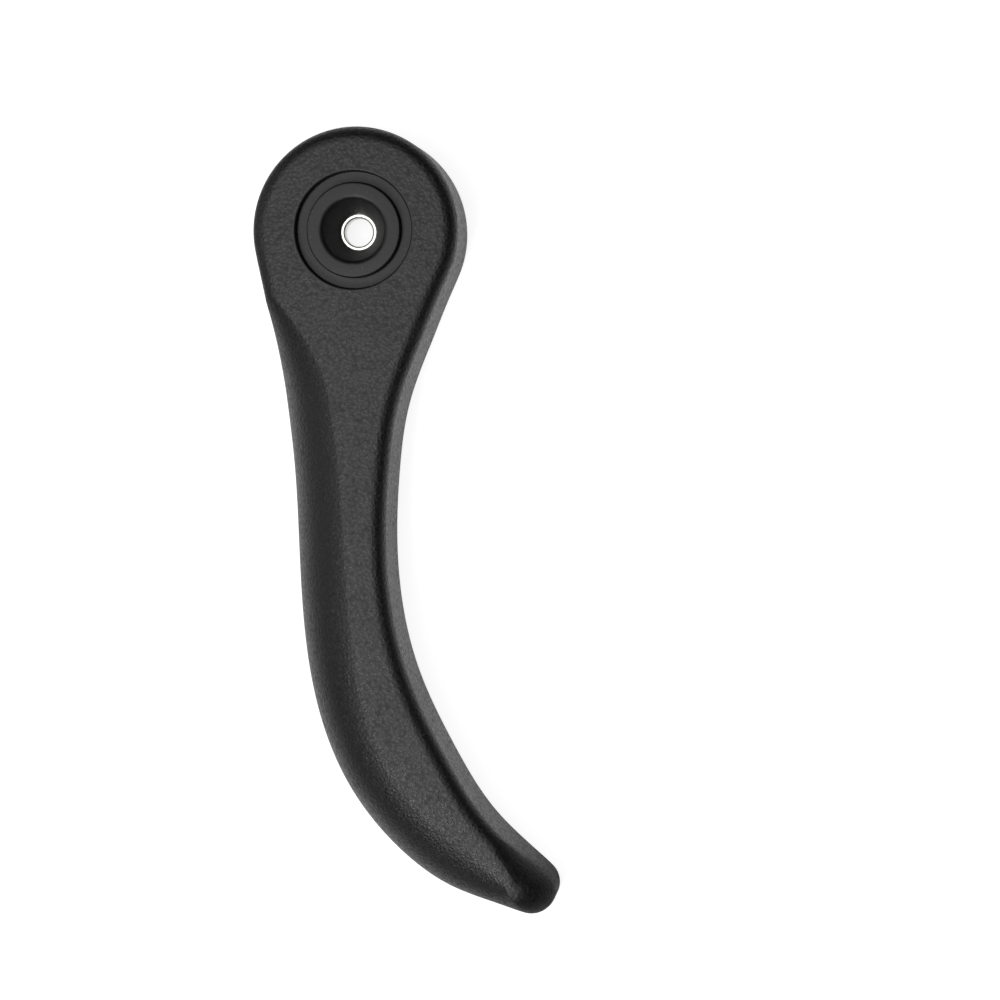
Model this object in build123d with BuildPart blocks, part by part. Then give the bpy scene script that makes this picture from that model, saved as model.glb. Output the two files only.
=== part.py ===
from build123d import *
import os
from math import atan2, cos, degrees, pi, radians, sin, tan

# A car seat adjuster handle: a moulded black lever on a round hub, with a steel
# bush in its screw hole and a cored, ribbed back.
# Frame: the origin is on the hub's axis, in the plane of the back rim, and +Z
# points out of the front face. The lever hangs towards -Y and bends round to +X.
# All sizes are in millimetres and degrees.

# Outer shell, measured in plan at the back rim
hub_radius = 21.4
thickness = 16.0
edge_radius = 2.7
draft_angle = 1.3
outer_side_leaves_hub = 192.0
inner_side_leaves_hub = -24.0

# Centre line of the lever: how far each place is below the hub, and how wide it is
shoulder_x, shoulder_rise, shoulder_narrowing = -2.0, 2.2, 9.9
neck_x, neck_drop, neck_width = -3.4, 11.6, 26.0
grip_x, grip_drop, grip_width = -3.7, 26.1, 21.9
waist_x, waist_drop, waist_width = -3.6, 42.6, 20.3
bend_x, bend_drop, bend_width = 0.5, 73.0, 22.3
belly_x, belly_drop, belly_width = 8.8, 91.5, 22.9
taper_x, taper_drop, taper_width = 21.8, 106.4, 18.1

# Round tip, and the angles at which it meets the outer and the inner side
tip_x, tip_drop, tip_radius = 36.0, 114.3, 5.0
tip_meets_outer_side = 255.0
tip_meets_inner_side = 407.0

# Finger flank: the broad round down the outer side of the lever
flank_start = 5.0
flank_start_radius = 2.2
flank_radius = 16.4
flank_overhang = 0.3
flank_run_in = 27.0
crease_rise = 0.8
crease_rise_at_tip = 0.1
flank_sections = 28
flank_crowding = 0.35
flank_clearance = 6.0

# Dome that the flank turns into as it goes round the tip
dome_length = 9.8
dome_height = 9.5
dome_gap = 0.4
dome_run_in = 36.0
dome_run_out = 16.0
dome_sections = 6

# Ring groove and screw funnel in the front face
groove_inner_radius = 9.6
groove_outer_radius = 11.9
groove_depth = 1.8
groove_bevel = 0.3
funnel_radius = 5.9
funnel_depth = 7.0
funnel_bevel = 0.9

# Steel bush moulded into the screw hole
bush_radius = 3.65
bush_bore_radius = 2.9
bush_length = 3.0
bush_chamfer = 0.3
bush_groove_width = 1.0
bush_groove_depth = 0.25
bush_clearance = 0.02

# Socket for the recliner shaft, a round with two flats
socket_radius = 6.0
socket_across_flats = 9.0
socket_lead_in = 0.5

# Cored back
wall = 2.2
lever_roof = 2.4
hub_roof = 4.2
boss_radius = 9.0
rib_thickness = 1.6
rib_setback = 1.0
hub_rib_count = 6
lever_rib_count = 7

bush_top = thickness - funnel_depth
bush_bottom = bush_top - bush_length
core_height = thickness - lever_roof
upwards = Vector(0, 0, 1)
tip_y = -hub_radius - tip_drop
stations = [
    (Vector(shoulder_x, shoulder_rise - hub_radius), 2 * hub_radius - shoulder_narrowing),
    (Vector(neck_x, -hub_radius - neck_drop), neck_width),
    (Vector(grip_x, -hub_radius - grip_drop), grip_width),
    (Vector(waist_x, -hub_radius - waist_drop), waist_width),
    (Vector(bend_x, -hub_radius - bend_drop), bend_width),
    (Vector(belly_x, -hub_radius - belly_drop), belly_width),
    (Vector(taper_x, -hub_radius - taper_drop), taper_width),
]

with BuildLine() as centre_line:
    lever_axis = Spline(
        Vector(0, 0),
        *[point for point, width in stations],
        Vector(tip_x, tip_y),
    )


def round_point(centre, radius, angle):
    """Point at an angle on a round in plan."""
    turn = radians(angle)
    return centre + Vector(cos(turn), sin(turn)) * radius


def round_heading(angle):
    """Anticlockwise direction of travel at an angle on a round."""
    turn = radians(angle)
    return Vector(-sin(turn), cos(turn))


def side_points(side, inset):
    """Points down one side of the lever, square to its centre line."""
    points = []
    for point, width in stations:
        heading = lever_axis.tangent_at(lever_axis.param_at_point(point))
        across = Vector(heading.Y, -heading.X) * side
        points.append(point + across * (width / 2 - inset))
    return points


def draw_outline(inset):
    """Outline in plan, moved inwards: hub, outer side, tip and inner side, all tangent."""
    hub_centre = Vector(0, 0)
    hub = hub_radius - inset
    tip_centre = Vector(tip_x, tip_y)
    tip = tip_radius - inset
    turn_round_hub = outer_side_leaves_hub - inner_side_leaves_hub
    hub_arc = CenterArc(hub_centre, hub, inner_side_leaves_hub, turn_round_hub)
    outer_side = Spline(
        round_point(hub_centre, hub, outer_side_leaves_hub),
        *side_points(1, inset),
        round_point(tip_centre, tip, tip_meets_outer_side),
        tangents=(round_heading(outer_side_leaves_hub), round_heading(tip_meets_outer_side)),
    )
    turn_round_tip = tip_meets_inner_side - tip_meets_outer_side
    tip_arc = CenterArc(tip_centre, tip, tip_meets_outer_side, turn_round_tip)
    inner_side = Spline(
        round_point(tip_centre, tip, tip_meets_inner_side),
        *reversed(side_points(-1, inset)),
        round_point(hub_centre, hub, inner_side_leaves_hub),
        tangents=(round_heading(tip_meets_inner_side), round_heading(inner_side_leaves_hub)),
    )
    return hub_arc, outer_side, tip_arc, inner_side


def drafted_block(inset, height):
    """Solid on the outline that narrows by the draft angle from the rim upwards."""
    with BuildPart() as block:
        for level in (0, height):
            with BuildSketch(Plane.XY.offset(level)):
                with BuildLine():
                    draw_outline(inset + level * tan(radians(draft_angle)))
                make_face()
        loft(ruled=True)
    return block.part


with BuildLine() as rim_line:
    hub_arc, outer_side, tip_arc, inner_side = draw_outline(0)
dome_centre = lever_axis.position_at(1) - lever_axis.tangent_at(1) * (dome_length - tip_radius)


def flank_place(side, place, radius, rise, domed):
    """Section of the flank: its plane, reach and depth, mixed from flank to dome."""
    point = side.position_at(place)
    heading = side.tangent_at(place)
    square = Vector(-heading.Y, heading.X)
    to_dome = dome_centre - point
    inward = (square * (1 - domed) + to_dome.normalized() * domed).normalized()
    plane = Plane(point, x_dir=inward, z_dir=inward.cross(upwards))
    reach = radius * (1 - domed) + (to_dome.length - dome_gap) * domed
    depth = radius * (1 - domed) + dome_height * domed
    return plane, reach, depth, rise


def flank_places():
    """Sections of the flank down the outer side, round the tip and up the inner side."""
    places = []
    flank_length = outer_side.length - flank_start
    for step in range(flank_sections + 1):
        even = step / flank_sections
        eased = (1 - cos(pi * even)) / 2
        share = even + (eased - even) * flank_crowding
        distance = flank_length * share
        grown = sin(pi / 2 * min(distance / flank_run_in, 1))
        radius = flank_start_radius + (flank_radius - flank_start_radius) * grown
        rise = crease_rise + (crease_rise_at_tip - crease_rise) * share
        domed = 1 - sin(pi / 2 * min((flank_length - distance) / dome_run_in, 1))
        place = (flank_start + distance) / outer_side.length
        places.append(flank_place(outer_side, place, radius, rise, domed))
    for step in range(1, dome_sections + 1):
        places.append(flank_place(tip_arc, step / dome_sections, flank_radius, crease_rise_at_tip, 1))
    for step in range(1, dome_sections + 1):
        share = step / dome_sections
        domed = cos(pi / 2 * share)
        place = share * dome_run_out / inner_side.length
        places.append(flank_place(inner_side, place, flank_start_radius, crease_rise_at_tip, domed))
    return places


def flank_cutter(inset):
    """Solid outside the flank: lofted sections, each with a quarter round."""
    with BuildPart() as cutter:
        for plane, reach, depth, rise in flank_places():
            if min(reach, depth) - inset < flank_overhang:
                continue
            middle = reach - flank_overhang
            low = thickness + rise - depth
            high = thickness + flank_clearance
            with BuildSketch(plane):
                with BuildLine():
                    EllipticalCenterArc((middle, low), reach - inset, depth - inset, 180, arc_size=-90)
                    Polyline(
                        (middle, low + depth - inset),
                        (middle, high),
                        (-flank_clearance, high),
                        (-flank_clearance, low),
                        (middle - reach + inset, low),
                    )
                make_face()
        loft()
    return cutter.part


def bush_profile(clearance):
    """Half section of the bush from the axis out, grown by a clearance."""
    radius = bush_radius + clearance
    neck = radius - bush_groove_depth
    middle = (bush_top + bush_bottom) / 2
    half_groove = bush_groove_width / 2 - clearance
    Polyline(
        (0, bush_bottom),
        (radius, bush_bottom),
        (radius, middle - half_groove),
        (neck, middle - half_groove),
        (neck, middle + half_groove),
        (radius, middle + half_groove),
        (radius, bush_top),
        (0, bush_top),
        close=True,
    )


outer_block = drafted_block(0, thickness)
core_block = drafted_block(wall, core_height)
outer_flank = flank_cutter(0)
core_flank = flank_cutter(wall)

# Space that is cored out of the back, around the boss and between the ribs
rib_height = core_height - rib_setback
with BuildPart() as core:
    add(core_block)
    add(core_flank, mode=Mode.SUBTRACT)
    with BuildSketch(Plane.XY.offset(thickness - hub_roof)):
        Circle(hub_radius)
    extrude(amount=hub_roof - lever_roof, mode=Mode.SUBTRACT)
    with BuildSketch(Plane.XY):
        Circle(boss_radius)
    extrude(amount=core_height, mode=Mode.SUBTRACT)
    with BuildSketch(Plane.XY.offset(rib_setback)):
        Circle(hub_radius - wall)
        Circle(hub_radius - wall - rib_thickness, mode=Mode.SUBTRACT)
        with Locations((0, -hub_radius / 4)):
            Rectangle(2 * hub_radius, hub_radius, align=(Align.CENTER, Align.MAX), mode=Mode.INTERSECT)
    extrude(amount=rib_height, mode=Mode.SUBTRACT)
    with BuildSketch(Plane.XY.offset(rib_setback)):
        with PolarLocations(hub_radius / 2, hub_rib_count, start_angle=30):
            Rectangle(hub_radius, rib_thickness)
        Circle(hub_radius - wall, mode=Mode.INTERSECT)
    extrude(amount=rib_height, mode=Mode.SUBTRACT)
    with BuildSketch(Plane.XY.offset(rib_setback)):
        first = hub_radius / lever_axis.length
        for number in range(1, lever_rib_count + 1):
            place = first + (1 - first) * number / (lever_rib_count + 1)
            middle = lever_axis.position_at(place)
            heading = lever_axis.tangent_at(place)
            with Locations(middle):
                Rectangle(rib_thickness, 2 * hub_radius, rotation=degrees(atan2(heading.Y, heading.X)))
    extrude(amount=rib_height, mode=Mode.SUBTRACT)

with BuildPart() as handle_body:
    add(outer_block)
    fillet(handle_body.faces().sort_by(Axis.Z)[-1].edges(), edge_radius)
    add(outer_flank, mode=Mode.SUBTRACT)
    add(core.part, mode=Mode.SUBTRACT)
    with BuildSketch(Plane.XZ):
        Polygon(
            (groove_inner_radius, thickness - groove_depth),
            (groove_outer_radius, thickness - groove_depth),
            (groove_outer_radius, thickness - groove_bevel),
            (groove_outer_radius + groove_bevel, thickness),
            (groove_inner_radius - groove_bevel, thickness),
            (groove_inner_radius, thickness - groove_bevel),
            align=None,
        )
        Polygon(
            (0, thickness),
            (funnel_radius + funnel_bevel, thickness),
            (funnel_radius, thickness - funnel_bevel),
            (bush_radius + bush_clearance, bush_top),
            (0, bush_top),
            align=None,
        )
    revolve(axis=Axis.Z, mode=Mode.SUBTRACT)
    with BuildSketch(Plane.XZ):
        with BuildLine():
            bush_profile(bush_clearance)
        make_face()
    revolve(axis=Axis.Z, mode=Mode.SUBTRACT)
    with BuildSketch(Plane.XY):
        Circle(socket_radius)
        Rectangle(2 * hub_radius, socket_across_flats, mode=Mode.INTERSECT)
    extrude(amount=bush_bottom, mode=Mode.SUBTRACT)
    for level, growth in ((0, socket_lead_in), (socket_lead_in, 0)):
        with BuildSketch(Plane.XY.offset(level)):
            Circle(socket_radius + growth)
            Rectangle(2 * hub_radius, socket_across_flats + 2 * growth, mode=Mode.INTERSECT)
    loft(ruled=True, mode=Mode.SUBTRACT)

with BuildPart() as screw_bush:
    with BuildSketch(Plane.XZ):
        with BuildLine():
            bush_profile(0)
        make_face()
    revolve(axis=Axis.Z)
    with BuildSketch(Plane.XY.offset(bush_bottom)):
        Circle(bush_bore_radius)
    extrude(amount=bush_length, mode=Mode.SUBTRACT)
    bore_edges = screw_bush.edges().filter_by(GeomType.CIRCLE).filter_by(
        lambda edge: abs(edge.radius - bush_bore_radius) < 1e-3
    )
    chamfer(bore_edges, bush_chamfer)

os.makedirs("parts", exist_ok=True)
for name, piece in (("handle_body", handle_body), ("screw_bush", screw_bush)):
    piece.part.label = name
    export_step(piece.part, f"parts/{name}.step")
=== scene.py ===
"""The looks of a car seat adjuster handle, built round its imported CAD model.

The handle is one black moulding with a fine grain, and a turned steel bush sits in
its screw hole. Sizes are in millimetres until a mesh is made, and the frame is the
CAD model's: the origin on the hub's axis at the back rim, +Z out of the front face,
-Y down the lever and +X the way that its end bends.
"""

from __future__ import annotations

import logging
import math
from dataclasses import dataclass, field
from enum import Enum

import bmesh
import bpy
import numpy as np
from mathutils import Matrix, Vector
from mathutils.geometry import delaunay_2d_cdt

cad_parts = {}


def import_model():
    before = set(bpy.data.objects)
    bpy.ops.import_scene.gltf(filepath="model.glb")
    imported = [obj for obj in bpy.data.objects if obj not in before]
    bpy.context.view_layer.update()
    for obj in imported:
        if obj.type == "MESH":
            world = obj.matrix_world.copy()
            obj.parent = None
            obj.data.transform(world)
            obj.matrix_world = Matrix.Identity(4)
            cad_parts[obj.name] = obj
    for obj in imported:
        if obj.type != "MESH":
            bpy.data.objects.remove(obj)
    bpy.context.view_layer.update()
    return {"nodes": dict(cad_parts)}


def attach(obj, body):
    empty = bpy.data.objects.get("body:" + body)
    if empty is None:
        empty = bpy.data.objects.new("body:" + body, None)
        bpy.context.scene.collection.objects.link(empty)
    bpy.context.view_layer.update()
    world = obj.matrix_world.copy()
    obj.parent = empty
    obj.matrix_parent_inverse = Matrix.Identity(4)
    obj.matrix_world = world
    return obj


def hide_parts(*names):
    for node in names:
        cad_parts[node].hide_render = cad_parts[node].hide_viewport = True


LOG = logging.getLogger("handle")
MM = 0.001
JOIN_DISTANCE = 0.0005
GRAIN_MASK = "grained"
NUMBER_SOCKET = "NodeSocketFloat"
LEVEL = 1e-3
MERGE_DISTANCE = 1e-6
TINY = 1e-9
FAR = 1e3

Array = np.ndarray
Triple = tuple[float, float, float]
Output = bpy.types.NodeSocket
Value = float | Output
Colour = tuple[float, float, float, float]
Inputs = dict[str | int, Value | Triple | Colour]


class Slot(Enum):
    """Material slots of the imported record."""

    MOULDING = "moulding"
    BUSH = "bush"


# Shader helpers


@dataclass
class Graph:
    """A node tree with short ways to add and join nodes."""

    tree: bpy.types.NodeTree

    def fill(self, node: bpy.types.Node, inputs: Inputs) -> None:
        """Sets a node's inputs, or links outputs to them.

        Args:
            node: the node.
            inputs: a number, a colour or an output for each input's name or number.
        """
        for name, value in inputs.items():
            if isinstance(value, Output):
                self.tree.links.new(value, node.inputs[name])
            else:
                node.inputs[name].default_value = value

    def node(self, kind: str, inputs: Inputs | None = None, **values: object) -> bpy.types.Node:
        """Adds a node.

        Args:
            kind: Blender's name for the node.
            inputs: what its inputs are filled with.
            **values: its properties.

        Returns:
            The new node.
        """
        made = self.tree.nodes.new(kind)
        for name, value in values.items():
            setattr(made, name, value)
        self.fill(made, inputs or {})
        return made

    def math(self, operation: str, *values: Value) -> Output:
        """Adds a Math node with its inputs in order, and returns the result."""
        return self.node("ShaderNodeMath", dict(enumerate(values)), operation=operation).outputs[0]

    def vector(self, operation: str, *values: Triple | Output) -> bpy.types.NodeOutputs:
        """Adds a Vector Math node and returns its outputs, Vector and Value."""
        inputs = dict(enumerate(values))
        return self.node("ShaderNodeVectorMath", inputs, operation=operation).outputs

    def span(
        self, value: Output, low: float, high: float, to_low: float = 0.0, to_high: float = 1.0
    ) -> Output:
        """Maps a value smoothly from one range to another.

        Args:
            value: the output to map.
            low: where the ramp starts.
            high: where the ramp ends.
            to_low: the result at and below its start.
            to_high: the result at and above its end.

        Returns:
            The mapped value.
        """
        ends = {"From Min": low, "From Max": high, "To Min": to_low, "To Max": to_high}
        inputs = {"Value": value, **ends}
        made = self.node("ShaderNodeMapRange", inputs, interpolation_type="SMOOTHSTEP")
        return made.outputs["Result"]

    def noise(
        self, place: Output, scale: Value, detail: float = 2.0, rough: float = 0.5
    ) -> Output:
        """Adds noise whose pattern fits scale times in a metre; it averages about 0.5."""
        inputs = {"Vector": place, "Scale": scale, "Detail": detail, "Roughness": rough}
        return self.node("ShaderNodeTexNoise", inputs).outputs["Fac"]

    def blend(self, share: Value, first: Colour | Output, second: Colour | Output) -> Output:
        """Mixes two colours; a share of 1 is the second one."""
        inputs = {0: share, 6: first, 7: second}
        return self.node("ShaderNodeMix", inputs, data_type="RGBA").outputs[2]

    def place(self) -> Output:
        """Returns the place in the piece's own frame, in metres."""
        return self.node("ShaderNodeTexCoord").outputs["Object"]

    def off_axis(self) -> tuple[Output, Output]:
        """Adds the distance from the hub's axis and the height, in the piece's own frame.

        Returns:
            The distance and the height, in metres.
        """
        split = self.node("ShaderNodeSeparateXYZ", {0: self.place()}).outputs
        flat = self.node("ShaderNodeCombineXYZ", {"X": split["X"], "Y": split["Y"]})
        return self.vector("LENGTH", flat.outputs[0])["Value"], split["Z"]


def new_group(
    name: str, inputs: dict[str, float], outputs: tuple[str, ...]
) -> tuple[Graph, bpy.types.NodeOutputs, bpy.types.Node]:
    """Makes an empty shader node group with named number sockets.

    Args:
        name: the group's name.
        inputs: its inputs with their defaults.
        outputs: the names of its outputs.

    Returns:
        Its graph, what its inputs give, and the node that takes its outputs.
    """
    tree = bpy.data.node_groups.new(name, "ShaderNodeTree")
    for label, value in inputs.items():
        made = tree.interface.new_socket(label, in_out="INPUT", socket_type=NUMBER_SOCKET)
        made.default_value = value
    for label in outputs:
        tree.interface.new_socket(label, in_out="OUTPUT", socket_type=NUMBER_SOCKET)
    graph = Graph(tree)
    return graph, graph.node("NodeGroupInput").outputs, graph.node("NodeGroupOutput")


def new_material(name: str) -> tuple[bpy.types.Material, Graph, bpy.types.Node]:
    """Makes a material.

    Args:
        name: its name.

    Returns:
        The material, its graph and its Principled shader.
    """
    made = bpy.data.materials.new(name)
    made.use_nodes = True
    return made, Graph(made.node_tree), made.node_tree.nodes["Principled BSDF"]


def grain_group() -> bpy.types.NodeTree:
    """Leather-fine grain etched into a mould, as height and two masks.

    Height is cell noise for the pebbles plus fine noise for the etch. Glints is a
    painted highlight: light flecks from fine noise that stand in for light catching
    the pebbles' tops, and Cloud is the slow change of gloss.

    Returns:
        The node group.
    """
    graph, given, made = new_group(
        "moulded grain",
        {"Pebbles per metre": 1500.0, "Etch per metre": 5200.0, "Depth": 1.0},
        ("Height", "Glints", "Cloud"),
    )
    place = graph.place()
    cells = {"Vector": place, "Scale": given["Pebbles per metre"], "Smoothness": 0.6}
    pebbles = graph.node("ShaderNodeTexVoronoi", cells, feature="SMOOTH_F1")
    etch = graph.noise(place, given["Etch per metre"], 3.0)
    top = graph.math("SUBTRACT", 1.0, pebbles.outputs["Distance"])
    raised = graph.math("MULTIPLY_ADD", top, 0.65, graph.math("MULTIPLY", etch, 0.5))
    masks = {
        "Height": graph.math("MULTIPLY", raised, given["Depth"]),
        # Painted highlight: light flecks that stand in for light catching the grain.
        "Glints": graph.span(graph.noise(place, 1900.0, 5.0, 0.8), 0.5, 0.74),
        "Cloud": graph.noise(place, 60.0, 3.0, 0.55),
    }
    graph.fill(made, masks)
    return graph.tree


def dust_group() -> bpy.types.NodeTree:
    """Pale dust that settles on flat, upward places.

    Returns:
        The node group, with one mask from 0 to 1.
    """
    graph, given, made = new_group(
        "settled dust", {"Amount": 0.3, "Flecks per metre": 1400.0}, ("Dust",)
    )
    flecks = graph.noise(graph.place(), given["Flecks per metre"], 5.0, 0.7)
    facing = graph.node("ShaderNodeNewGeometry").outputs["Normal"]
    upward = graph.node("ShaderNodeSeparateXYZ", {0: facing}).outputs["Z"]
    level, sparse = graph.span(upward, 0.2, 0.95), graph.span(flecks, 0.56, 0.76)
    mask = graph.math("MULTIPLY", graph.math("MULTIPLY", level, sparse), given["Amount"])
    graph.fill(made, {"Dust": mask})
    return graph.tree


# Finishes


@dataclass
class Effects:
    """The shader node groups that the finishes share."""

    grain: bpy.types.NodeTree = field(default_factory=grain_group)
    dust: bpy.types.NodeTree = field(default_factory=dust_group)

    def dusted(self, graph: Graph, amount: float) -> Output:
        """Puts an amount of dust in a material's graph and returns its mask."""
        return graph.node("ShaderNodeGroup", {"Amount": amount}, node_tree=self.dust).outputs[0]


@dataclass(frozen=True)
class BlackMoulding:
    """Black moulded plastic: grained outside, smooth in the recess and at the back.

    The mesh says which faces are grained, and near the groove's lip the grain fades
    out with the distance from the hub's axis.
    """

    name: str = "black moulding"
    colour: Colour = (0.004, 0.004, 0.0042, 1.0)
    # Painted highlight: the colour of the light flecks that stand in for light catching the grain.
    painted_glint_colour: Colour = (0.034, 0.033, 0.031, 1.0)
    dust_colour: Colour = (0.23, 0.22, 0.2, 1.0)
    grained_roughness: float = 0.33
    smooth_roughness: float = 0.5
    recess_radius: float = 12.25 * MM
    recess_fade: float = 0.12 * MM
    painted_glints_everywhere: float = 0.12
    painted_glints_on_grain: float = 0.62
    cloud_in_gloss: float = 0.12
    hollow_in_gloss: float = 0.55
    hollow_level: float = 0.42
    dust: float = 0.2
    dust_in_gloss: float = 0.3
    bump_height: float = 0.13 * MM
    bump_when_smooth: float = 0.15
    refraction: float = 1.5

    def material(self, effects: Effects) -> bpy.types.Material:
        """Makes the material.

        Args:
            effects: the shared node groups.

        Returns:
            The material.
        """
        made, graph, shader = new_material(self.name)
        ramp = self.recess_radius - self.recess_fade, self.recess_radius + self.recess_fade
        mask = graph.node("ShaderNodeAttribute", attribute_name=GRAIN_MASK).outputs["Fac"]
        outside = graph.math("MULTIPLY", graph.span(graph.off_axis()[0], *ramp), mask)
        grain = graph.node("ShaderNodeGroup", node_tree=effects.grain).outputs
        dust = effects.dusted(graph, self.dust)

        # Painted highlight: light flecks, strongest on the grained faces, stand in for light
        # catching the grain.
        flecks = graph.math("MULTIPLY_ADD", outside, self.painted_glints_on_grain, self.painted_glints_everywhere)
        painted_glints = graph.math("MULTIPLY", grain["Glints"], flecks)
        shade = graph.blend(painted_glints, self.colour, self.painted_glint_colour)

        change = self.grained_roughness - self.smooth_roughness
        rough = graph.math("MULTIPLY_ADD", outside, change, self.smooth_roughness)
        cloud, height = self.cloud_in_gloss, grain["Height"]
        drift = graph.math("MULTIPLY_ADD", grain["Cloud"], cloud, -cloud / 2)
        hollow = graph.math("MULTIPLY_ADD", height, -self.hollow_in_gloss, self.hollow_level)
        drift = graph.math("MULTIPLY_ADD", hollow, outside, drift)
        dull = graph.math("MULTIPLY_ADD", dust, self.dust_in_gloss, drift)

        smooth = self.bump_when_smooth
        depth = graph.math("MULTIPLY_ADD", outside, 1.0 - smooth, smooth)
        raised = graph.math("MULTIPLY", height, depth)
        bump = {"Strength": 1.0, "Distance": self.bump_height, "Height": raised}
        looks = {
            "Base Color": graph.blend(dust, shade, self.dust_colour),
            "Roughness": graph.math("ADD", rough, dull),
            "Normal": graph.node("ShaderNodeBump", bump).outputs[0],
            "IOR": self.refraction,
        }
        graph.fill(shader, looks)
        return made


@dataclass(frozen=True)
class TurnedSteel:
    """Bright turned steel with fine rings from the tool and a faint film of dust."""

    name: str = "turned steel"
    colour: Colour = (0.78, 0.77, 0.74, 1.0)
    film_colour: Colour = (0.5, 0.47, 0.42, 1.0)
    roughness: float = 0.26
    rings_per_metre: float = 9000.0
    rings_in_gloss: float = 0.16
    ring_height: float = 0.02 * MM
    ring_strength: float = 0.25
    dust: float = 0.5
    dust_in_gloss: float = 0.3

    def material(self, effects: Effects) -> bpy.types.Material:
        """Makes the material.

        Args:
            effects: the shared node groups.

        Returns:
            The material.
        """
        made, graph, shader = new_material(self.name)
        along = graph.math("ADD", *graph.off_axis())
        line = graph.node("ShaderNodeCombineXYZ", {"X": along}).outputs[0]
        rings = graph.noise(line, self.rings_per_metre, 2.0, 0.6)
        dust, gloss = effects.dusted(graph, self.dust), self.rings_in_gloss
        rough = graph.math("MULTIPLY_ADD", rings, gloss, self.roughness - gloss / 2)
        bump = {"Strength": self.ring_strength, "Distance": self.ring_height, "Height": rings}
        looks = {
            "Metallic": 1.0,
            "Base Color": graph.blend(dust, self.colour, self.film_colour),
            "Roughness": graph.math("MULTIPLY_ADD", dust, self.dust_in_gloss, rough),
            "Normal": graph.node("ShaderNodeBump", bump).outputs[0],
        }
        graph.fill(shader, looks)
        return made


@dataclass(frozen=True)
class StudioPaper:
    """White paper under the handle: it keeps the shadow, and the camera sees it white."""

    name: str = "studio paper"
    colour: Colour = (0.42, 0.42, 0.42, 1.0)
    glow: float = 0.86
    painted_reflection_glow: float = 0.72
    painted_reflection_middle: Triple = (0.01, -0.037, 0.0)
    painted_reflection_reach: Triple = (0.044, 0.1, 1.0)
    painted_reflection_fade: tuple[float, float] = (0.9, 1.35)

    def material(self) -> bpy.types.Material:
        """Makes the material: diffuse paper, with a glow for the camera and, round the
        handle, a painted reflection glow that only glossy rays see.

        Returns:
            The material.
        """
        made, graph, shader = new_material(self.name)
        made.node_tree.nodes.remove(shader)
        # Painted reflection: a glowing patch round the handle that only glossy rays see; it lights
        # the handle's side walls and rounded edges.
        apart = graph.vector("SUBTRACT", graph.place(), self.painted_reflection_middle)["Vector"]
        share = graph.vector("DIVIDE", apart, self.painted_reflection_reach)["Vector"]
        reach = graph.vector("LENGTH", share)["Value"]
        near = graph.span(reach, *self.painted_reflection_fade, self.painted_reflection_glow, 0.0)
        paths = graph.node("ShaderNodeLightPath").outputs
        painted_reflection_seen = graph.math("MULTIPLY", paths["Is Glossy Ray"], near)
        seen = graph.math("MULTIPLY", paths["Is Camera Ray"], self.glow)
        strength = graph.math("MAXIMUM", seen, painted_reflection_seen)
        glow = graph.node("ShaderNodeEmission", {"Strength": strength}).outputs[0]
        paper = graph.node("ShaderNodeBsdfDiffuse", {"Color": self.colour}).outputs[0]
        both = graph.node("ShaderNodeAddShader", {0: paper, 1: glow}).outputs[0]
        graph.fill(made.node_tree.nodes["Material Output"], {"Surface": both})
        return made


# Mesh helpers


@dataclass
class MeshParts:
    """Parts of one closed mesh, in millimetres, that are joined where they touch."""

    points: list[Array] = field(default_factory=list)
    faces: list[tuple[int, ...]] = field(default_factory=list)
    grained: list[float] = field(default_factory=list)
    count: int = 0

    def add(self, points: Array, faces: Array, grained: bool = False) -> None:
        """Adds a part.

        Args:
            points: its points, one row of three for each.
            faces: rows of its own point numbers.
            grained: whether the mould's grain lies on it.
        """
        self.points.append(points)
        self.grained.extend([float(grained)] * len(faces))
        self.faces.extend(tuple(row) for row in (faces + self.count).tolist())
        self.count += len(points)

    def mesh(self, name: str, sharp_angle: float) -> bpy.types.Mesh:
        """Joins the parts into one smooth mesh that faces outwards, in metres.

        Args:
            name: the mesh's name.
            sharp_angle: edges that turn by more than these degrees stay sharp.

        Returns:
            The mesh.
        """
        made = bpy.data.meshes.new(name)
        made.from_pydata((np.vstack(self.points) * MM).tolist(), [], self.faces)
        mask = made.attributes.new(GRAIN_MASK, "FLOAT", "FACE")
        mask.data.foreach_set("value", self.grained)
        work = bmesh.new()
        work.from_mesh(made)
        bmesh.ops.remove_doubles(work, verts=work.verts, dist=JOIN_DISTANCE * MM)
        bmesh.ops.recalc_face_normals(work, faces=work.faces)
        open_edges = sum(not edge.is_manifold for edge in work.edges)
        work.to_mesh(made)
        work.free()
        made.shade_smooth()
        made.set_sharp_from_angle(angle=math.radians(sharp_angle))
        counts = len(made.vertices), len(made.polygons), open_edges
        LOG.info("%s: %d points, %d faces, %d open edges", name, *counts)
        return made


def band_faces(columns: int, rows: int, loop: bool = False) -> Array:
    """Quads of a closed band whose point (column, row) has the number column * rows + row.

    Args:
        columns: points along the path, the last of which joins the first.
        rows: points across it.
        loop: whether the last row joins the first as well.

    Returns:
        An array of four point numbers for each quad.
    """
    spans = rows if loop else rows - 1
    column, row = np.meshgrid(np.arange(columns), np.arange(spans), indexing="ij")
    here, onward, upward = column * rows, (column + 1) % columns * rows, (row + 1) % rows
    quads = (here + row, onward + row, onward + upward, here + upward)
    return np.stack(quads, axis=-1).reshape(-1, 4)


def revolved(profile: Array, columns: int) -> Array:
    """Points of a profile turned about the hub's axis: (r cos a, r sin a, z).

    Args:
        profile: rows of radius and height.
        columns: places round the axis.

    Returns:
        The points, column by column.
    """
    turn = np.arange(columns) * 2 * np.pi / columns
    radius, height = profile[:, 0], profile[:, 1]
    x = np.outer(np.cos(turn), radius)
    y = np.outer(np.sin(turn), radius)
    z = np.broadcast_to(height, x.shape)
    return np.stack([x, y, z], axis=-1).reshape(-1, 3)


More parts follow.
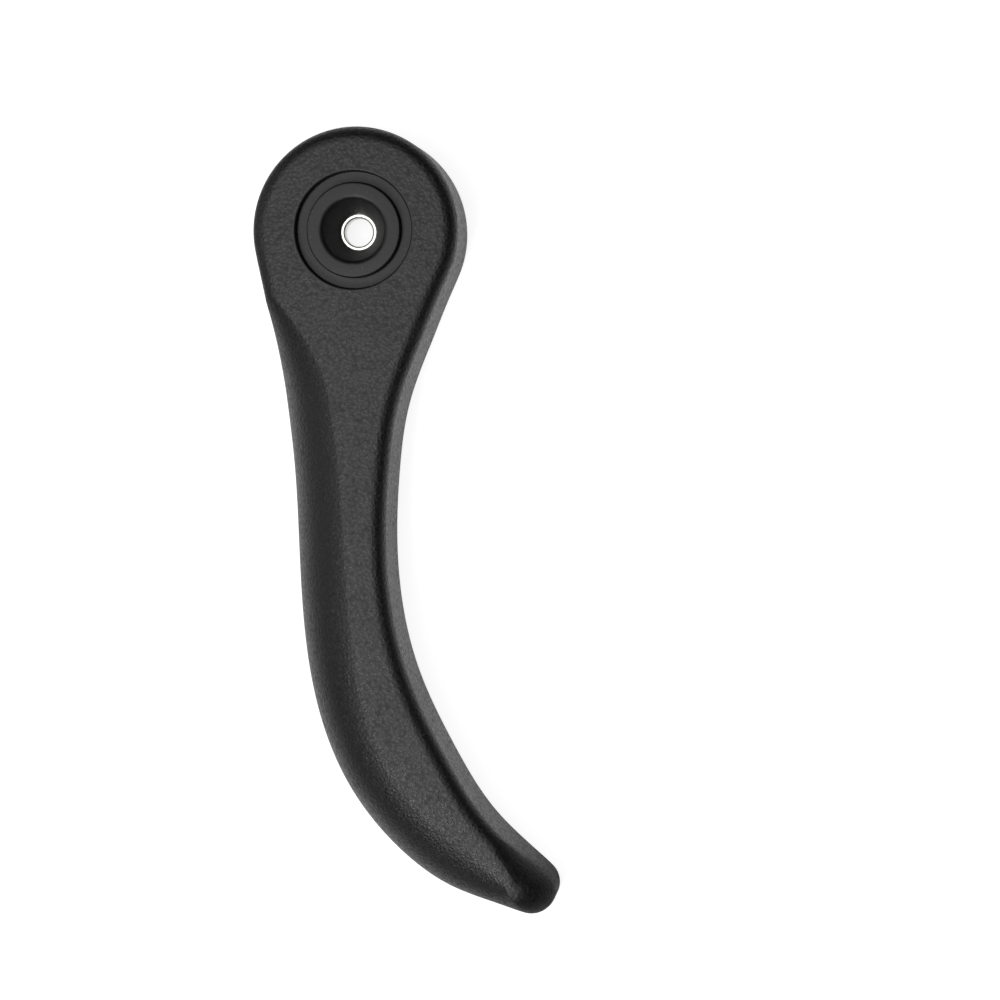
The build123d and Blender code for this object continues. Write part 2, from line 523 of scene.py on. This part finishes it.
def rounded_path(corners: list[Triple], closed: bool, steps: int) -> Array:
    """A path in a plane whose corners are arcs.

    At a corner whose sides part by the angle 2h, the arc of radius r has its centre
    r / sin h from the corner, on the line that halves the angle.

    Args:
        corners: the place of each corner and its radius, 0 for a sharp one.
        closed: whether the last corner joins the first.
        steps: spans in each arc.

    Returns:
        Rows of two coordinates.
    """
    count = len(corners)
    path: list[Array] = []
    for number, (x, y, radius) in enumerate(corners):
        here = np.array([x, y])
        if radius == 0 or (not closed and number in (0, count - 1)):
            path.append(here)
            continue
        back = np.array(corners[number - 1][:2]) - here
        on = np.array(corners[(number + 1) % count][:2]) - here
        back, on = back / np.linalg.norm(back), on / np.linalg.norm(on)
        half = np.arccos(np.clip(back @ on, -1, 1)) / 2
        middle = (back + on) / np.linalg.norm(back + on)
        centre = here + middle * radius / np.sin(half)
        first = here + back * radius / np.tan(half) - centre
        last = here + on * radius / np.tan(half) - centre
        sweep = np.pi - 2 * half
        for share in np.linspace(0, 1, steps + 1):
            mix = first * np.sin((1 - share) * sweep) + last * np.sin(share * sweep)
            path.append(centre + mix / np.sin(sweep))
    return np.array(path)


def inside_loop(places: Array, loop: Array) -> Array:
    """Whether places in plan lie inside a loop: a ray from them crosses it oddly often.

    Args:
        places: rows of x and y.
        loop: the loop's points.

    Returns:
        One truth value for each place.
    """
    start, end = loop[:, :2], np.roll(loop[:, :2], -1, axis=0)
    x, y = places[:, :1], places[:, 1:2]
    spans = (start[:, 1] > y) != (end[:, 1] > y)
    rise = np.where(spans, end[:, 1] - start[:, 1], 1.0)
    crossing = start[:, 0] + (y - start[:, 1]) / rise * (end[:, 0] - start[:, 0])
    return (spans & (x < crossing)).sum(axis=1) % 2 == 1


def filled(outer: Array, hole: Array) -> tuple[Array, Array]:
    """Triangles between two loops that see no third one, with no new points.

    Args:
        outer: the outer loop's points.
        hole: the inner loop's points.

    Returns:
        The points of both loops and the triangles on them.
    """
    points = np.vstack([outer, hole])
    edges = []
    for first, size in ((0, len(outer)), (len(outer), len(hole))):
        edges += [(first + number, first + (number + 1) % size) for number in range(size)]
    flat = [Vector((x, y)) for x, y in points[:, :2].tolist()]
    _, _, triangles, origins, _, _ = delaunay_2d_cdt(flat, edges, [], 0, MERGE_DISTANCE)
    faces = np.array([[origins[corner][0] for corner in triangle] for triangle in triangles])
    middles = points[faces, :2].mean(axis=1)
    kept = inside_loop(middles, outer) & ~inside_loop(middles, hole)
    return points, faces[kept]


def soft_least(first: Array, second: Array, width: Array) -> Array:
    """The lesser of two values, with their crossing rounded over a width.

    Where they differ by less than the width w, it is min(a, b) - w h^2 / 4 with
    h = (w - |a - b|) / w.

    Args:
        first: values.
        second: values.
        width: the width of the rounding.

    Returns:
        The rounded lesser value.
    """
    safe = np.maximum(width, TINY)
    near = np.clip(safe - np.abs(first - second), 0.0, None) / safe
    return np.minimum(first, second) - safe * near**2 / 4


def smooth_step(value: Array, low: float, high: float) -> Array:
    """Goes smoothly from 0 at the low value to 1 at the high one: s^2 (3 - 2 s)."""
    share = np.clip((value - low) / (high - low), 0, 1)
    return share**2 * (3 - 2 * share)


# CAD node


@dataclass
class MergedNode:
    """A merged copy of a CAD node's triangles, in millimetres."""

    points: Array
    faces: Array

    @classmethod
    def of(cls, node: bpy.types.Object) -> MergedNode:
        """Copies a node and merges its loose triangles.

        Args:
            node: the CAD node, which stays as it is.

        Returns:
            The merged copy.
        """
        work = bmesh.new()
        work.from_mesh(node.data)
        work.transform(node.matrix_world)
        bmesh.ops.remove_doubles(work, verts=work.verts, dist=JOIN_DISTANCE * MM)
        work.verts.index_update()
        points = np.array([list(point.co) for point in work.verts]) / MM
        faces = np.array([[point.index for point in face.verts] for face in work.faces])
        work.free()
        return cls(points, faces)

    def border_loops(self, chosen: Array) -> list[Array]:
        """Loops round a choice of faces, the longest first.

        Args:
            chosen: one truth value for each face.

        Returns:
            The point numbers of each loop.
        """
        picked = self.faces[chosen]
        edges = {(int(a), int(b)) for face in picked for a, b in zip(face, np.roll(face, -1))}
        following = {a: b for a, b in edges if (b, a) not in edges}
        loops = []
        while following:
            start, here = following.popitem()
            loop = [start]
            while here != start:
                loop.append(here)
                here = following.pop(here)
            loops.append(np.array(loop))
        return sorted(loops, key=lambda loop: -np.ptp(self.points[loop], axis=0).max())

    def reached(self, start: int, barred: Array, cut: Array) -> Array:
        """Faces that can be reached over edges from one face.

        Args:
            start: the first face.
            barred: truth values of the faces that aren't entered.
            cut: truth values of points; an edge between two of them isn't crossed.

        Returns:
            One truth value for each face.
        """
        beside: dict[tuple[int, int], list[int]] = {}
        for number, face in enumerate(self.faces.tolist()):
            for a, b in zip(face, face[1:] + face[:1]):
                if not (cut[a] and cut[b]):
                    beside.setdefault((min(a, b), max(a, b)), []).append(number)
        found = np.zeros(len(self.faces), dtype=bool)
        found[start] = True
        queue = [start]
        while queue:
            face = self.faces[queue.pop()].tolist()
            for a, b in zip(face, face[1:] + face[:1]):
                for other in beside.get((min(a, b), max(a, b)), []):
                    if not found[other] and not barred[other]:
                        found[other] = True
                        queue.append(other)
        return found


# Handle


@dataclass(frozen=True)
class HandleSizes:
    """Sizes of the moulding, in millimetres and degrees.

    They are the CAD model's, but its rounded edge is a little fuller here and its
    dome a little deeper, as the photo shows them.
    """

    thickness: float = 16.0
    draft: float = 1.3
    edge_radius: float = 3.2
    hub_radius: float = 21.4
    boss_radius: float = 9.0
    outer_side_leaves_hub: float = 192.0
    inner_side_leaves_hub: float = -24.0
    tip_centre: tuple[float, float] = (36.0, -135.7)
    tip_radius: float = 5.0
    tip_meets_outer_side: float = 255.0
    tip_meets_inner_side: float = 47.0
    flank_start: float = 5.0
    flank_start_radius: float = 2.2
    flank_radius: float = 16.4
    flank_overhang: float = 0.5
    flank_run_in: float = 27.0
    crease_rise: float = 0.8
    crease_rise_at_tip: float = 0.1
    dome_centre: tuple[float, float] = (30.7, -133.9)
    dome_height: float = 10.4
    dome_draw_in: float = 0.3
    dome_gap: float = 0.4
    dome_run_in: float = 36.0
    dome_run_out: float = 16.0
    hole_radius: float = 3.67
    hole_height: float = 9.0


@dataclass(frozen=True)
class RecessSizes:
    """Sizes of the ring groove and the screw funnel, in millimetres."""

    rim_radius: float = 12.4
    groove_outer_radius: float = 11.9
    groove_inner_radius: float = 9.6
    groove_depth: float = 1.8
    groove_lip: float = 0.34
    groove_foot: float = 0.3
    ring_sink: float = 0.12
    funnel_lip_radius: float = 6.5
    funnel_lip: float = 1.1
    foot_radius: float = 3.9
    foot_height: float = 9.63


@dataclass(frozen=True)
class SkinDetail:
    """How finely the skin is drawn, and how far its creases are rounded."""

    columns: int = 960
    rows: int = 68
    samples: int = 260
    reach_step: float = 0.25
    turn_weight: float = 7.0
    recess_columns: int = 240
    far_edge_gap: float = 0.9
    dome_hub: float = 0.8
    ridge_gap: float = 0.6
    ease_width: float = 1.6
    past_edge: float = 0.01
    edge_steps: int = 24
    margin: float = 4.0
    halvings: int = 30
    sharp_angle: float = 32.0
    plain_crease: float = 0.06
    plain_side: float = 0.2
    side_height: float = 4.0
    crease_heights: tuple[float, float] = (12.0, 15.2)
    shares: tuple[float, ...] = (0.0, 0.12, 0.3, 0.5, 0.68, 1.0)
    crease_widths: tuple[float, ...] = (0.2, 0.25, 0.1, 0.12, 0.6, 0.5)
    side_widths: tuple[float, ...] = (0.2, 0.3, 0.3, 0.3, 0.35, 0.5)


@dataclass
class Rim:
    """The handle's outline in plan at the back rim, anticlockwise, in even steps.

    It starts where the outer side leaves the hub. Each mark is how far along it the
    next of these lies: the tip's start, the tip's end and the hub's start.
    """

    points: Array
    inward: Array
    along: Array
    marks: Triple

    @classmethod
    def through(cls, loop: Array, sizes: HandleSizes, count: int) -> Rim:
        """Draws a closed cubic spline through a loop and walks along it.

        With spans h and second derivatives M at the knots p, the spline satisfies
        h0 M0 + 2 (h0 + h1) M1 + h1 M2 = 6 ((p2 - p1) / h1 - (p1 - p0) / h0).

        Args:
            loop: the loop's points in plan.
            sizes: the moulding's sizes.
            count: how many even steps.

        Returns:
            The rim.
        """
        onward = np.roll(loop, -1, axis=0)
        if np.sum(loop[:, 0] * onward[:, 1] - onward[:, 0] * loop[:, 1]) < 0:
            loop = loop[::-1]
        hub, tip = ((0.0, 0.0), sizes.hub_radius), (sizes.tip_centre, sizes.tip_radius)
        corners = (
            (*hub, sizes.outer_side_leaves_hub),
            (*tip, sizes.tip_meets_outer_side),
            (*tip, sizes.tip_meets_inner_side),
            (*hub, sizes.inner_side_leaves_hub),
        )
        nearest = []
        for centre, radius, angle in corners:
            turn = math.radians(angle)
            place = np.add(centre, (radius * math.cos(turn), radius * math.sin(turn)))
            nearest.append(int(np.argmin(np.linalg.norm(loop - place, axis=1))))
        knots = np.roll(loop, -nearest[0], axis=0)
        size = len(knots)
        steps = np.roll(knots, -1, axis=0) - knots
        spans = np.linalg.norm(steps, axis=1)
        before, slopes = np.roll(spans, 1), steps / spans[:, None]
        number = np.arange(size)
        system = np.zeros((size, size))
        system[number, number] = 2 * (before + spans)
        system[number, (number - 1) % size] = before
        system[number, (number + 1) % size] = spans
        second = np.linalg.solve(system, 6 * (slopes - np.roll(slopes, 1, axis=0)))
        places = np.concatenate([[0.0], np.cumsum(spans)])
        along = np.arange(count) * places[-1] / count
        knot = np.clip(np.searchsorted(places, along, side="right") - 1, 0, size - 1)
        span = spans[knot][:, None]
        ahead = (along - places[knot])[:, None] / span
        behind = 1 - ahead
        after = (knot + 1) % size
        points = behind * knots[knot] + ahead * knots[after]
        bow = (behind**3 - behind) * second[knot] + (ahead**3 - ahead) * second[after]
        points += bow * span**2 / 6
        turn = (1 - 3 * behind**2) * second[knot] + (3 * ahead**2 - 1) * second[after]
        heading = slopes[knot] + turn * span / 6
        heading /= np.linalg.norm(heading, axis=1)[:, None]
        inward = np.column_stack([-heading[:, 1], heading[:, 0]])
        marks = tuple(float(places[(found - nearest[0]) % size]) for found in nearest[1:])
        return cls(points, inward, along, marks)

    def depth_at(self, places: Array) -> Array:
        """How far inside the rim places in plan lie, square to its nearest point.

        Args:
            places: rows of x and y.

        Returns:
            The depths.
        """
        apart = places[:, None, :] - self.points[None, :, :]
        nearest = np.argmin((apart**2).sum(axis=-1), axis=1)
        return ((places - self.points[nearest]) * self.inward[nearest]).sum(axis=1)


@dataclass
class Skin:
    """The outer skin: at each place on the rim, a profile in the plane through it.

    In that plane t runs inwards from the rim and z upwards. The drafted wall, the
    rounded edge and the front face bound the block; a quarter ellipse bounds the
    flank, and towards the tip it turns into a quarter of the dome. The profile is
    where the rounded lesser of the two depths is nought, and it is looked for along
    rays from the back plane below the profile's inner end.
    """

    sizes: HandleSizes
    detail: SkinDetail
    rim: Rim
    active: Array = field(init=False)
    inward: Array = field(init=False)
    reach: Array = field(init=False)
    depth: Array = field(init=False)
    middle: Array = field(init=False)
    low: Array = field(init=False)
    crease: Array = field(init=False)
    side: Array = field(init=False)
    plan: Array = field(init=False)
    end: Array = field(init=False)

    def __post_init__(self) -> None:
        """Works out the sections of the flank and the plan depth under each ray."""
        sizes, detail, rim = self.sizes, self.detail, self.rim
        outer_end, tip_end, _ = rim.marks
        run = outer_end - sizes.flank_start
        gone = rim.along - sizes.flank_start
        share = np.clip(gone / run, 0, 1)
        past_tip = np.clip((rim.along - tip_end) / sizes.dome_run_out, 0, 1)
        grown = np.sin(np.pi / 2 * np.clip(gone / sizes.flank_run_in, 0, 1))
        radius = sizes.flank_start_radius + (sizes.flank_radius - sizes.flank_start_radius) * grown
        radius = np.where(rim.along > tip_end, sizes.flank_start_radius, radius)
        rise = sizes.crease_rise + (sizes.crease_rise_at_tip - sizes.crease_rise) * share
        domed = 1 - np.sin(np.pi / 2 * np.clip((run - gone) / sizes.dome_run_in, 0, 1))
        domed = np.where(rim.along > tip_end, np.cos(np.pi / 2 * past_tip), domed)
        self.active = rim.along < tip_end + sizes.dome_run_out
        domed = np.where(self.active, domed, 0.0)
        to_dome = np.array(sizes.dome_centre) - rim.points
        dome_reach = np.linalg.norm(to_dome, axis=1)
        share_in, share_out = domed[:, None], (1 - domed)[:, None]
        inward = self.eased(rim.inward * share_out + to_dome / dome_reach[:, None] * share_in)
        self.inward = inward / np.linalg.norm(inward, axis=1)[:, None]
        self.reach = self.eased(radius * (1 - domed) + (dome_reach - sizes.dome_gap) * domed)
        self.depth = self.eased(radius * (1 - domed) + sizes.dome_height * domed)
        self.middle = self.reach - sizes.flank_overhang + self.eased(sizes.dome_draw_in * domed)
        self.low = sizes.thickness + rise - self.depth
        crease = np.interp(share, detail.shares, detail.crease_widths)
        side = np.interp(share, detail.shares, detail.side_widths)
        self.crease = crease * (1 - past_tip) + detail.plain_crease * past_tip
        self.side = side * (1 - past_tip) + detail.plain_side * past_tip
        self.plan = self.plan_depths()
        self.end = self.ends(rise, domed)

    def eased(self, values: Array) -> Array:
        """Evens out kinks along the rim with a bell curve exp(-x^2 / 2 w^2).

        Args:
            values: a value or a row for each place on the rim.

        Returns:
            The evened values.
        """
        step = self.rim.along[1]
        width = self.detail.ease_width / step
        offsets = np.arange(-int(3 * width), int(3 * width) + 1)
        weights = np.exp(-(offsets**2) / (2 * width**2))
        moved = [np.roll(values, offset, axis=0) for offset in offsets]
        return np.tensordot(weights, moved, axes=1) / weights.sum()

    def plan_depths(self) -> Array:
        """Plan depth at even steps inwards from each place on the rim.

        Returns:
            A row of depths for each place.
        """
        longest = self.sizes.flank_radius + self.detail.margin
        steps = np.arange(0, longest, self.detail.reach_step)
        columns = [self.rim.depth_at(self.rim.points + self.inward * step) for step in steps]
        return np.column_stack(columns)

    def plan_depth(self, reach: Array) -> Array:
        """Plan depth at distances inwards from each place on the rim.

        Args:
            reach: a row of distances for each place.

        Returns:
            The depths.
        """
        square = (self.inward * self.rim.inward).sum(axis=1)[:, None]
        step = np.clip(reach / self.detail.reach_step, 0, self.plan.shape[1] - 1.001)
        whole = step.astype(int)
        place = np.arange(len(self.plan))[:, None]
        low, high = self.plan[place, whole], self.plan[place, whole + 1]
        return np.where(reach < 0, reach * square, low + (high - low) * (step - whole))

    def ends(self, rise: Array, domed: Array) -> Array:
        """Where each profile ends: past the rounded edge, and past the crease.

        It stops short of the other side's edge and of the dome's middle, so that the
        ends make one loop that doesn't cross itself.

        Args:
            rise: how far the flank's ellipse stands over the front face.
            domed: how far the flank has turned into the dome.

        Returns:
            The distances inwards.
        """
        sizes = self.sizes
        lean = math.tan(math.radians(sizes.draft))
        flat_from = sizes.edge_radius + (sizes.thickness - sizes.edge_radius) * lean
        steps = np.arange(self.plan.shape[1]) * self.detail.reach_step
        first, wanted = self.detail.edge_steps, flat_from + self.detail.past_edge
        past_edge = np.array([np.interp(wanted, row[:first], steps[:first]) for row in self.plan])
        top = np.clip((self.depth - rise + self.crease) / self.depth, 0, 1)
        past_crease = self.middle - self.reach * np.sqrt(1 - top**2)
        clear = self.plan > flat_from + self.detail.far_edge_gap
        last_clear = self.plan.shape[1] - 1 - np.argmax(clear[:, ::-1], axis=1)
        ridge = self.detail.dome_hub + self.detail.ridge_gap * 4 * domed * (1 - domed)
        latest = np.minimum(steps[last_clear], self.middle - ridge)
        past_both = np.maximum(past_edge, np.minimum(past_crease, latest))
        return np.where(self.active, past_both, past_edge)

    def inside(self, reach: Array, height: Array) -> Array:
        """How deep points of the profiles' planes lie in the moulding, negative outside.

        Args:
            reach: distances inwards, a row for each place on the rim.
            height: heights over the back rim.

        Returns:
            The depths.
        """
        sizes = self.sizes
        draft = math.radians(sizes.draft)
        plan = self.plan_depth(reach)
        wall = plan * math.cos(draft) - height * math.sin(draft)
        top = sizes.thickness - height
        centre_height = sizes.thickness - sizes.edge_radius
        centre = (sizes.edge_radius + centre_height * math.sin(draft)) / math.cos(draft)
        across, over = plan - centre, height - centre_height
        cornered = (across < 0) & (over * math.cos(draft) + across * math.sin(draft) > 0)
        rounded = sizes.edge_radius - np.hypot(across, over)
        block = np.where(cornered, rounded, np.minimum(wall, top))
        out = np.maximum(self.middle[:, None] - reach, 0) / self.reach[:, None]
        up = np.maximum(height - self.low[:, None], 0) / self.depth[:, None]
        size = np.hypot(out, up)
        slope = np.hypot(out / self.reach[:, None], up / self.depth[:, None])
        scale = np.where(slope > TINY, size / np.maximum(slope, TINY), self.depth[:, None])
        flank = np.where(self.active[:, None], (1 - size) * scale, FAR)
        lower = self.side[:, None] * smooth_step(height, 0.0, self.detail.side_height)
        rise = smooth_step(height, *self.detail.crease_heights)
        return soft_least(block, flank, lower + (self.crease[:, None] - lower) * rise)

    def profiles(self) -> tuple[Array, Array]:
        """Finds the profiles along rays, by halving.

        Returns:
            The reach and the height of each point, a row for each place on the rim.
        """
        turn = np.linspace(0, np.pi / 2, self.detail.samples)[None, :]
        near = np.zeros((len(self.end), self.detail.samples))
        far = np.hypot(self.end, self.sizes.thickness + self.detail.margin)[:, None] + near
        end, level, upright = self.end[:, None], np.cos(turn), np.sin(turn)
        for _ in range(self.detail.halvings):
            middle = (near + far) / 2
            within = self.inside(end - middle * level, middle * upright) > 0
            near, far = np.where(within, middle, near), np.where(within, far, middle)
        return end - near * level, near * upright

    def grid(self) -> Array:
        """Draws the skin with its rows closer together where the profile turns.

        Returns:
            Points with the shape columns, rows, 3.
        """
        reach, height = self.profiles()
        span, climb = np.diff(reach, axis=1), np.diff(height, axis=1)
        heading = np.unwrap(np.arctan2(climb, span), axis=1)
        bend = np.abs(np.diff(heading, axis=1, prepend=heading[:, :1]))
        weight = np.hypot(span, climb) + self.detail.turn_weight * bend
        share = np.pad(np.cumsum(weight, axis=1), ((0, 0), (1, 0)))
        share /= share[:, -1:]
        even = np.linspace(0, 1, self.detail.rows)
        reach = np.array([np.interp(even, *pair) for pair in zip(share, reach)])
        height = np.array([np.interp(even, *pair) for pair in zip(share, height)])
        height[:, 0] = 0.0
        reach[:, 0] = 0.0
        plan = self.rim.points[:, None, :] + self.inward[:, None, :] * reach[:, :, None]
        return np.concatenate([plan, height[:, :, None]], axis=-1)


@dataclass
class MouldedHandle:
    """The black moulding: skin, ring groove, screw funnel and cored back."""

    node: bpy.types.Object
    sizes: HandleSizes = HandleSizes()
    recess: RecessSizes = RecessSizes()
    detail: SkinDetail = SkinDetail()
    boss_margin: float = 0.1
    hole_margin: float = 0.02

    def recess_profile(self) -> Array:
        """Half section of the recess, from the face's hole in to the funnel's foot.

        Returns:
            Rows of radius and height.
        """
        top, cut = self.sizes.thickness, self.recess
        floor = top - cut.groove_depth
        ring = top - cut.ring_sink
        return rounded_path(
            [
                (cut.rim_radius, top, 0.0),
                (cut.groove_outer_radius, top, cut.groove_lip),
                (cut.groove_outer_radius, floor, cut.groove_foot),
                (cut.groove_inner_radius, floor, cut.groove_foot),
                (cut.groove_inner_radius, ring, cut.groove_lip),
                (cut.funnel_lip_radius, ring, cut.funnel_lip),
                (cut.foot_radius, cut.foot_height, 0.0),
            ],
            closed=False,
            steps=8,
        )

    def mesh(self) -> bpy.types.Mesh:
        """Joins the skin, the recess and the CAD model's own cored back.

        Returns:
            The closed mesh.
        """
        cad = MergedNode.of(self.node)
        corners = cad.points[cad.faces]
        reach = np.hypot(corners[..., 0], corners[..., 1]).max(axis=1)
        flat = np.abs(corners[..., 2]).max(axis=1) < LEVEL
        ring = flat & (reach > self.sizes.boss_radius + self.boss_margin)
        outer, core = cad.border_loops(ring)[:2]
        off_axis = np.hypot(cad.points[:, 0], cad.points[:, 1])
        hole = np.abs(cad.points[:, 2] - self.sizes.hole_height) < LEVEL
        hole &= np.abs(off_axis - self.sizes.hole_radius) < self.hole_margin
        boss = int(np.argmax(flat & ~ring))
        back = cad.reached(boss, ring, hole)
        order = np.argsort(np.arctan2(cad.points[hole, 1], cad.points[hole, 0]))
        foot = cad.points[hole][order]

        rim = Rim.through(cad.points[outer][:, :2], self.sizes, self.detail.columns)
        grid = Skin(self.sizes, self.detail, rim).grid()
        profile = self.recess_profile()
        turned = revolved(profile, self.detail.recess_columns)
        columns = turned.reshape(self.detail.recess_columns, len(profile), 3)

        parts = MeshParts()
        parts.add(grid.reshape(-1, 3), band_faces(*grid.shape[:2]), grained=True)
        parts.add(*filled(grid[:, 0], cad.points[core]))
        parts.add(*filled(grid[:, -1], columns[:, 0]), grained=True)
        parts.add(turned, band_faces(*columns.shape[:2]))
        parts.add(*filled(columns[:, -1], foot))
        parts.add(cad.points, cad.faces[back])
        return parts.mesh("handle_body_skin", self.detail.sharp_angle)


@dataclass
class ScrewBush:
    """The turned steel bush at the funnel's foot, with rounded chamfers."""

    radius: float = 3.65
    bore_radius: float = 2.9
    bottom: float = 6.0
    length: float = 3.0
    chamfer: float = 0.3
    groove_width: float = 1.0
    groove_depth: float = 0.25
    corner: float = 0.05
    groove_corner: float = 0.03
    chamfer_corner: float = 0.1
    bore_corner: float = 0.3
    columns: int = 240
    sharp_angle: float = 50.0

    def mesh(self) -> bpy.types.Mesh:
        """Turns the bush's section about the hub's axis.

        Returns:
            The closed mesh.
        """
        middle, top = self.bottom + self.length / 2, self.bottom + self.length
        below, above = middle - self.groove_width / 2, middle + self.groove_width / 2
        neck, mouth = self.radius - self.groove_depth, self.bore_radius + self.chamfer
        section = rounded_path(
            [
                (self.radius, self.bottom, self.corner),
                (self.radius, below, self.groove_corner),
                (neck, below, self.corner),
                (neck, above, self.corner),
                (self.radius, above, self.groove_corner),
                (self.radius, top, self.corner),
                (mouth, top, self.chamfer_corner),
                (self.bore_radius, top - self.chamfer, self.bore_corner),
                (self.bore_radius, self.bottom + self.chamfer, self.bore_corner),
                (mouth, self.bottom, self.chamfer_corner),
            ],
            closed=True,
            steps=4,
        )
        parts, faces = MeshParts(), band_faces(self.columns, len(section), loop=True)
        parts.add(revolved(section, self.columns), faces)
        return parts.mesh("screw_bush_skin", self.sharp_angle)


def placed(name: str, data: bpy.types.ID) -> bpy.types.Object:
    """Makes an object of some data and links it to the scene.

    Args:
        name: the object's name.
        data: its mesh, light or camera.

    Returns:
        The object.
    """
    made = bpy.data.objects.new(name, data)
    bpy.context.scene.collection.objects.link(made)
    return made


def dress(
    name: str, mesh: bpy.types.Mesh, finish: bpy.types.Material, node: str
) -> None:
    """Puts a mesh in the scene in place of a CAD node.

    Args:
        name: the piece's name.
        mesh: its mesh, in metres in the CAD frame.
        finish: its material.
        node: the CAD node it stands for.
    """
    mesh.materials.append(finish)
    made = placed(name, mesh)
    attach(made, "root")
    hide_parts(node)


# Studio


@dataclass
class Lamp:
    """A soft square lamp that hangs at a place and looks at another."""

    name: str
    place: Triple
    target: Triple
    size: float
    power: float

    def build(self) -> None:
        """Hangs the lamp."""
        light = bpy.data.lights.new(self.name, "AREA")
        light.shape = "SQUARE"
        light.size = self.size
        light.energy = self.power
        made = placed(self.name, light)
        made.location = self.place
        towards = Vector(self.target) - Vector(self.place)
        made.rotation_euler = towards.to_track_quat("-Z", "Y").to_euler()


@dataclass
class Studio:
    """A pale paper floor, soft lamps, a plain world and the camera over the handle."""

    floor_size: float = 3.0
    floor_gap: float = 0.05 * MM
    camera_place: Triple = (0.07368, -0.03448, 0.4444)
    camera_turn: Triple = (-0.04657, 0.10186, 0.00033)
    lens: float = 76.85
    sky: float = 0.02
    lamps: tuple[Lamp, ...] = (
        Lamp("overhead", (-0.11, -0.02, 0.8), (0.01, -0.06, 0.0), 0.62, 3.06),
        Lamp("window", (-0.88, 0.12, 0.42), (0.01, -0.06, 0.0), 0.8, 1.3),
        Lamp("ridge light", (-0.25, -0.53, 0.7), (0.02, -0.11, 0.0), 0.22, 3.2),
    )

    def floor(self) -> bpy.types.Object:
        """Lays the floor: a square whose middle is under the handle.

        Returns:
            The floor's object.
        """
        half = self.floor_size / 2
        corners = np.array([(-half, -half), (half, -half), (half, half), (-half, half)])
        points = np.column_stack([corners, np.full(4, -self.floor_gap)])
        mesh = bpy.data.meshes.new("floor")
        mesh.from_pydata(points.tolist(), [], [(0, 1, 2, 3)])
        mesh.materials.append(StudioPaper().material())
        return placed("floor", mesh)

    def world(self) -> None:
        """Gives the world a plain grey light, which the camera sees white."""
        world = bpy.data.worlds.new("studio")
        bpy.context.scene.world = world
        world.use_nodes = True
        graph = Graph(world.node_tree)
        back = world.node_tree.nodes["Background"]
        paths = graph.node("ShaderNodeLightPath").outputs
        seen = graph.math("MULTIPLY_ADD", paths["Is Camera Ray"], 1.0 - self.sky, self.sky)
        graph.fill(back, {"Color": (1.0, 1.0, 1.0, 1.0), "Strength": seen})

    def camera(self) -> None:
        """Sets up the camera, looking down on the handle."""
        camera = bpy.data.cameras.new("camera")
        camera.sensor_width = 36.0
        camera.lens = self.lens
        camera.clip_start = 0.01
        made = placed("camera", camera)
        made.location = self.camera_place
        made.rotation_euler = self.camera_turn
        bpy.context.scene.camera = made

    def build(self) -> None:
        """Builds the floor, the lamps, the world and the camera."""
        self.floor()
        for lamp in self.lamps:
            lamp.build()
        self.world()
        self.camera()
        bpy.context.scene.view_settings.view_transform = "Standard"


def main() -> None:
    """Dresses the handle piece by piece and builds the studio round it."""
    logging.basicConfig(level=logging.INFO, format="%(message)s")
    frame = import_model()
    effects = Effects()
    moulding, steel = BlackMoulding().material(effects), TurnedSteel().material(effects)
    skin = MouldedHandle(frame["nodes"]["handle_body"]).mesh()
    dress("handle_skin", skin, moulding, "handle_body")
    dress("bush_skin", ScrewBush().mesh(), steel, "screw_bush")
    Studio().build()


if __name__ == "__main__":
    main()
